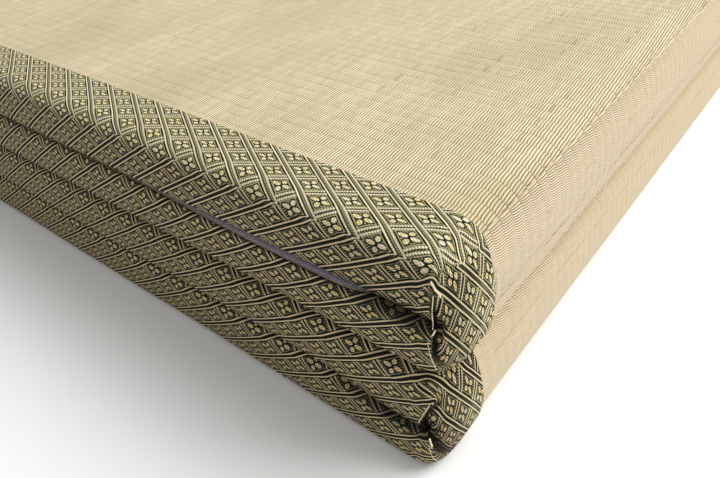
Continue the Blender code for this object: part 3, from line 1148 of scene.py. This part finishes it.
backingColumns = {
    "edge": (0.0, 0.2, 0.4, 0.6, 0.8, 1.0),
    "middle": 12,
    "thick": 0.8 * mm,
    "coarser": 2.0,
}


def buildBacking(material):
    row = stations(backingColumns["coarser"])
    front = placeOutline(row, *edgeOutline(row, (), (), (), backingColumns["edge"], pastBinding=True))
    rear = front[:, ::-1] * np.array([1, -1, 1])
    shares = np.linspace(0, 1, backingColumns["middle"] + 2)[1:-1]
    middle = blendTo(front[:, -1:], rear[:, :1], shares[None, :, None])
    skin = np.concatenate([front, middle, rear], axis=1)
    normals = gridNormals(skin)
    topLeaf = row["leaf"] == 1
    if normals[topLeaf][:, len(backingColumns["edge"]) + 2, 2].mean() > 0:
        normals = -normals
    uv = clothMap(row["run"], runAcross(skin))
    tuck = mitreDepth(skin)[0] * np.where(skin[..., 1] < 0, 1, -1)
    faces = []
    for lift in (stack["clearance"] + backingColumns["thick"], stack["clearance"] * 0.5):
        grid = skin + normals * lift
        grid[..., 1] += tuck
        faces.append(grid)
    return makeSheet("backing_cloth_sheet", faces[0], faces[1], uv, {}, material, True)


# Rush mat

matColumns = {
    "hidden": 22.0 * mm,          # depth at which the visible rush face begins, under the binding
    "perRow": 3.8,                # columns to each row of ties
    "coarser": 3.95,
    "plainEnd": 2,                # rows at each free end without strands
    "crest": (0, 30, 60, 90),
    "mid": (0.5,),
    "shoulder": (0.0, 0.5, 1.1),
    "inset": 0.8 * mm,
    "mitreInset": 8.0 * mm,       # how far the filling keeps out of the slits
    "mitreWidth": 16.0 * mm,
    "mitreTall": 0.6,
    "mitreSlope": (0.4, 1),
}

# The long right-hand face away from the binding: fuller beside the line where the two blocks meet
rightFace = {
    "from": 29.0 * mm,            # distance from the front
    "full": 75.0 * mm,
    "belowLine": 3.0 * mm,        # swelling of the lower block's upper turn
    "belowRise": (0.35, 0.85),
    "aboveLine": 0.2 * mm,        # and of the upper block's lower turn
    "aboveRise": (0.4, 0.85),
    "fall": (0.94, 1.0),          # both end at the line
    "behindBack": 5 * mm,         # what counts as the right face,
    "behindCrease": 9 * mm,       # measured from the backing and from the crease
    "lip": 0.5 * mm,
    "lipPlace": -17.0 * mm,       # height of the rolled lip from the upper crease
    "lipWidth": 1.6 * mm,
    "crestWidth": 4.5 * mm,
    "waves": {"count": 7, "lengths": (0.02, 0.07)},
    "waveSize": 0.5 * mm,
    "waveSeed": 23,
    "turn": (0.0, 0.95),          # part of the fold over which the top becomes the face
}


def fuller(row, points):
    # Swells the face beside the line between the blocks, and says how near each point is to the lip
    x, y, z = np.moveaxis(points, 2, 0)
    folds = hinges()
    reach = stack["leaf"] + stack["creaseRadius"]
    awayFromFront = -stack["halfWidth"] + rightFace["from"]
    ease = smooth(0, rightFace["full"] - rightFace["from"], -np.abs(y) - awayFromFront)
    onRight = (row["rush"][:, 0] > row["back"][:, 0] - rightFace["behindBack"])[:, None]
    onRight = onRight & (x > folds["upper"][0] - rightFace["behindCrease"])
    lower = (z - folds["lower"][1]) / reach
    upper = (folds["upper"][1] - z) / reach
    swell = np.zeros(x.shape)
    for name, share in (("below", lower), ("above", upper)):
        rise = smooth(*rightFace[f"{name}Rise"], share) * (1 - smooth(*rightFace["fall"], share))
        swell += rightFace[f"{name}Line"] * rise
    above = z - folds["upper"][1] - rightFace["lipPlace"]
    wave = softWaves(points, rightFace["waveSeed"], rightFace["waveSize"], rightFace["waves"])
    lip = np.exp(-((above + wave) / rightFace["lipWidth"]) ** 2) * onRight
    moved = points.copy()
    moved[..., 0] += ease * onRight * (swell + rightFace["lip"] * lip)
    return moved, lip * ease


def mitreRoom(skin):
    # The filling keeps out of the slits
    room = np.zeros(skin.shape[:2])
    for name in ("upper", "lower"):
        hinge = hinges()[name]
        away = np.hypot(skin[..., 0] - hinge[0], (skin[..., 2] - hinge[1]) * matColumns["mitreTall"])
        near = 1 - smooth(*matColumns["mitreSlope"], away / matColumns["mitreWidth"])
        room = np.maximum(room, matColumns["mitreInset"] * near)
    return room


def buildMat(material):
    row = stations(matColumns["coarser"])
    height, depth, thick = edgeOutline(
        row, (), matColumns["crest"], matColumns["mid"], matColumns["shoulder"],
    )
    edge = placeOutline(row, height, depth + matColumns["inset"], thick)
    edge[..., 1] += mitreRoom(edge)
    start = frontLine() + matColumns["hidden"]
    count = int(-2 * start / (rush["row"] / matColumns["perRow"]))
    places = np.linspace(start, -start, count)
    top = np.stack(np.broadcast_arrays(
        row["rush"][:, 0:1], places[None], row["rush"][:, 1:2],
    ), axis=2).copy()
    top[..., 2] = lowered(top[..., 0], top[..., 2])
    top, lip = fuller(row, top)
    rear = edge * np.array([1, -1, 1])
    skin = np.concatenate([top, rear, edge[:, ::-1]], axis=1)
    rows, columns = skin.shape[:2]
    uv = clothMap(row["run"], skin[..., 1])
    values = {name: np.zeros((rows, columns)) for name in ("rushFace", "side", "crest", "lip")}
    values["rushFace"][matColumns["plainEnd"]:-matColumns["plainEnd"], :count] = 1
    below = (row["rush"][:, 1] < hinges()["upper"][1]) & (row["rush"][:, 0] > 0)
    values["side"][:, :count] = np.where(below, 1, smooth(*rightFace["turn"], row["folded"]))[:, None]
    values["crest"][:, :count] = np.exp(-((row["run"] - foldStart()) / rightFace["crestWidth"]) ** 2)[:, None]
    values["lip"][:, :count] = lip
    quads = quadsOfGrid(rows, columns, closed=True)
    faces = list(quads[:, ::-1])
    faces.append(np.arange(columns))
    faces.append(np.arange(columns)[::-1] + (rows - 1) * columns)
    values = {name: numbers.ravel() for name, numbers in values.items()}
    return makeMesh("rush_mat", skin.reshape(-1, 3), faces, uv.reshape(-1, 2), values, material)


# Geometry Nodes

def newTree(name, inputs):
    tree = bpy.data.node_groups.new(name, "GeometryNodeTree")
    tree.interface.new_socket(name="Geometry", in_out="INPUT", socket_type="NodeSocketGeometry")
    for label, kind in inputs:
        tree.interface.new_socket(name=label, in_out="INPUT", socket_type=kind)
    tree.interface.new_socket(name="Geometry", in_out="OUTPUT", socket_type="NodeSocketGeometry")
    graph = Graph(tree)
    start = tree.nodes.new("NodeGroupInput")
    wires = {socket.name: Wire(graph, socket) for socket in start.outputs if socket.name}
    return tree, graph, wires


def endTree(tree, graph, shape, material):
    real = graph.node("GeometryNodeRealizeInstances", {}, {"Geometry": shape})
    dressed = graph.node("GeometryNodeSetMaterial", {}, {"Geometry": real, "Material": material})
    end = tree.nodes.new("NodeGroupOutput")
    tree.links.new(dressed.socket, end.inputs["Geometry"])


def applyTree(piece, tree, values):
    # Runs the tree on the piece and leaves the result as its plain mesh
    modifier = piece.modifiers.new(tree.name, "NODES")
    modifier.node_group = tree
    identifiers = {item.name: item.identifier for item in tree.interface.items_tree if item.in_out == "INPUT"}
    for label, value in values.items():
        modifier[identifiers[label]] = value
    name = piece.name
    seen = bpy.context.evaluated_depsgraph_get()
    mesh = bpy.data.meshes.new_from_object(piece.evaluated_get(seen), depsgraph=seen)
    bpy.data.objects.remove(piece, do_unlink=True)
    made = bpy.data.objects.new(name, mesh)
    mesh.name = name
    bpy.context.scene.collection.objects.link(made)
    return made


def rushRelief():
    # Presses the tie rows into the rush face and makes it slightly uneven
    tree, graph, inputs = newTree("rushRelief", (
        ("Row Pitch", "NodeSocketFloat"),
        ("Row Depth", "NodeSocketFloat"),
        ("Lump", "NodeSocketFloat"),
        ("Lump Scale", "NodeSocketFloat"),
        ("Seed", "NodeSocketFloat"),
        ("Material", "NodeSocketMaterial"),
    ))
    place = graph.node("GeometryNodeInputPosition", {}, {})
    across = graph.parts(place)[1]
    inRow = (across / inputs["Row Pitch"]).fract()
    tied = 1 - graph.ramp(graph.least(inRow, 1 - inRow), *rush["tieWidth"])
    lumps = graph.node(
        "ShaderNodeTexNoise", {"noise_dimensions": "4D"},
        {"Vector": place, "W": inputs["Seed"], "Scale": inputs["Lump Scale"], "Detail": 1.0},
    )
    face = graph.node("GeometryNodeInputNamedAttribute", {"data_type": "FLOAT"}, {"Name": "rushFace"})
    lift = ((lumps - 0.5) * 2 * inputs["Lump"] - tied * inputs["Row Depth"]) * face
    normal = graph.node("GeometryNodeInputNormal", {}, {})
    offset = graph.node("ShaderNodeVectorMath", {"operation": "SCALE"}, {"Vector": normal, "Scale": lift})
    moved = graph.node("GeometryNodeSetPosition", {}, {"Geometry": inputs["Geometry"], "Offset": offset})
    endTree(tree, graph, moved, inputs["Material"])
    return tree


def stitchRow():
    # Lays short threads along a curve
    tree, graph, inputs = newTree("stitchRow", (
        ("Spacing", "NodeSocketFloat"),
        ("Thread Length", "NodeSocketFloat"),
        ("Thread Width", "NodeSocketFloat"),
        ("Lean", "NodeSocketFloat"),
        ("Seed", "NodeSocketInt"),
        ("Material", "NodeSocketMaterial"),
    ))
    points = graph.node(
        "GeometryNodeResampleCurve", {"mode": "LENGTH"},
        {"Curve": inputs["Geometry"], "Length": inputs["Spacing"]},
    )
    thread = graph.node("GeometryNodeMeshUVSphere", {}, {"Segments": 8, "Rings": 6, "Radius": 0.5})
    heading = graph.node("GeometryNodeInputTangent", {}, {})
    turned = graph.node("FunctionNodeAlignRotationToVector", {"axis": "Z"}, {"Vector": heading})
    uneven = graph.node(
        "FunctionNodeRandomValue", {"data_type": "FLOAT"}, {2: 0.8, 3: 1.2, "Seed": inputs["Seed"]}, output=1,
    )
    lean = graph.joined(0.0, inputs["Lean"] * uneven, 0.0)
    leanTurn = graph.node("FunctionNodeEulerToRotation", {}, {0: lean})
    turned = graph.node("FunctionNodeRotateRotation", {"rotation_space": "LOCAL"}, {0: turned, 1: leanTurn})
    size = graph.joined(inputs["Thread Width"], inputs["Thread Width"], inputs["Thread Length"] * uneven)
    laid = graph.node(
        "GeometryNodeInstanceOnPoints", {},
        {"Points": points, "Instance": thread, "Rotation": turned, "Scale": size},
    )
    endTree(tree, graph, laid, inputs["Material"])
    return tree


# Threads of the mitres. Each row is a run: fold, start and end as x and height from the crease in mm,
# spacing, thread length and thread width in mm.
threadRuns = (
    ("upper", (1.6, 14.6), (1.1, -0.6), 1.1, 1.2, 0.4),
    ("upper", (-0.2, -7.5), (2.5, -19.5), 1.2, 1.15, 0.42),
    ("upper", (0.6, 19.7), (3.3, 15.3), 0.9, 2.0, 0.75),
    ("upper", (2.2, -0.6), (1.3, -3.3), 0.9, 1.6, 0.5),
    ("lower", (1.2, 15.4), (-3.3, 2.4), 1.2, 1.2, 0.45),
    ("lower", (1.6, -5.6), (2.6, -8.6), 1.0, 2.0, 0.85),
    ("lower", (1.6, -9.4), (3.6, -19.6), 1.2, 1.2, 0.45),
)


threadPlace = {
    "lift": 0.15 * mm,            # how far a thread lies proud of the cloth
    "deepest": 16 * mm,
    "lean": 0.25,
    "points": 7,
}


def onFront(cloth, x, z):
    # Point on the face of the binding's edge, nearest to a place seen from the front
    facing = cloth[cloth[:, 1] < frontLine() + threadPlace["deepest"]]
    nearest = facing[np.argmin((facing[:, 0] - x) ** 2 + (facing[:, 2] - z) ** 2)]
    return (x, nearest[1] - threadPlace["lift"], z)


def buildThreads(cloth, material):
    tree = stitchRow()
    made = []
    for index, (fold, start, end, spacing, length, width) in enumerate(threadRuns):
        hinge = hinges()[fold]
        for side, rearName in ((1, "front"), (-1, "rear")):
            curve = bpy.data.curves.new(f"mitre_thread_{rearName}_{index}", "CURVE")
            curve.dimensions = "3D"
            spline = curve.splines.new("POLY")
            shares = np.linspace(0, 1, threadPlace["points"])
            spline.points.add(len(shares) - 1)
            for point, share in zip(spline.points, shares):
                x = hinge[0] + blendTo(start[0], end[0], share) * mm
                z = hinge[1] + blendTo(start[1], end[1], share) * mm
                place = onFront(cloth, x, z)
                point.co = (place[0], side * place[1], place[2], 1)
            piece = bpy.data.objects.new(curve.name, curve)
            bpy.context.scene.collection.objects.link(piece)
            made.append((rearName, applyTree(piece, tree, {
                "Spacing": spacing * mm, "Thread Length": length * mm, "Thread Width": width * mm,
                "Lean": threadPlace["lean"], "Seed": index, "Material": material,
            })))
    joined = []
    for side in ("front", "rear"):
        parts = [piece for name, piece in made if name == side]
        with bpy.context.temp_override(active_object=parts[0], selected_editable_objects=parts):
            bpy.ops.object.join()
        parts[0].name = f"mitre_threads_{side}"
        parts[0].data.shade_smooth()
        joined.append(parts[0])
    return joined


# Floor, lights and camera

view = {
    "corner": (0.261, -0.5, 0.1151),               # near top corner of the stack
    "fromCorner": (0.07992, -0.12585, 0.12806),
    "right": (0.7852, 0.6156, -0.0670),
    "up": (-0.3386, 0.5174, 0.7859),
    "back": (0.5185, -0.5944, 0.6147),
    "lens": 31.93,
}
studio = {
    "floor": 8.0,
    "world": 0.52,
    "keyPlace": (1.6, 0.9, 2.5), "keySize": 2.0, "keyPower": 98,
    "fillPlace": (-1.5, -2.2, 1.6), "fillSize": 2.5, "fillPower": 1,
    "aim": (0.2, -0.3, 0.05),
}


def buildFloor():
    half = studio["floor"] / 2
    mesh = bpy.data.meshes.new("floor")
    corners = [(-half, -half, 0), (half, -half, 0), (half, half, 0), (-half, half, 0)]
    mesh.from_pydata(corners, [], [(0, 1, 2, 3)])
    material, _, shader = newMaterial("paleFloor", 0.9)
    shader.inputs["Base Color"].default_value = colour(0.93, 0.93, 0.93)
    mesh.materials.append(material)
    floor = bpy.data.objects.new("floor", mesh)
    bpy.context.scene.collection.objects.link(floor)


def addLight(name, place, size, power):
    light = bpy.data.lights.new(name, "AREA")
    light.size = size
    light.energy = power
    lamp = bpy.data.objects.new(name, light)
    lamp.location = place
    aim = Vector(studio["aim"]) - Vector(place)
    lamp.rotation_euler = aim.to_track_quat("-Z", "Y").to_euler()
    bpy.context.scene.collection.objects.link(lamp)


def buildStudio():
    scene = bpy.context.scene
    addLight("key", studio["keyPlace"], studio["keySize"], studio["keyPower"])
    addLight("fill", studio["fillPlace"], studio["fillSize"], studio["fillPower"])
    world = bpy.data.worlds.new("softWhite")
    world.use_nodes = True
    background = world.node_tree.nodes["Background"]
    background.inputs["Color"].default_value = colour(1, 1, 1)
    background.inputs["Strength"].default_value = studio["world"]
    scene.world = world
    scene.view_settings.view_transform = "Standard"
    camera = bpy.data.cameras.new("camera")
    camera.lens = view["lens"]
    camera.sensor_width = 36
    camera.clip_start = 0.001
    holder = bpy.data.objects.new("camera", camera)
    turn = Matrix((view["right"], view["up"], view["back"])).transposed().to_4x4()
    turn.translation = Vector(view["corner"]) + Vector(view["fromCorner"])
    holder.matrix_world = turn
    scene.collection.objects.link(holder)
    scene.camera = holder


# Everything together

bindingCloth = bindingMaterial()
rushCloth = rushMaterial()
backingCloth = backingMaterial()
sewing = threadMaterial()
print("materials are ready")

bindings, bareCloth = buildBindings(bindingCloth)
print("bindings are ready")
backing = buildBacking(backingCloth)
print("backing is ready")
mat = buildMat(rushCloth)
mat = applyTree(mat, rushRelief(), {
    "Row Pitch": rush["row"], "Row Depth": rush["rowDepth"],
    "Lump": rush["lump"], "Lump Scale": rush["lumpScale"],
    "Seed": 3.0, "Material": rushCloth,
})
print("mat is ready")
threads = buildThreads(bareCloth, sewing)
print("threads are ready")

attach(mat, "root")
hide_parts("mat")
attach(backing, "root")
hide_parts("backing")
for cloth, thread, node in zip(bindings, threads, ("binding_front", "binding_rear")):
    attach(cloth, "root")
    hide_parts(node)
    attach(thread, "root")

buildFloor()
buildStudio()
print("studio is ready")
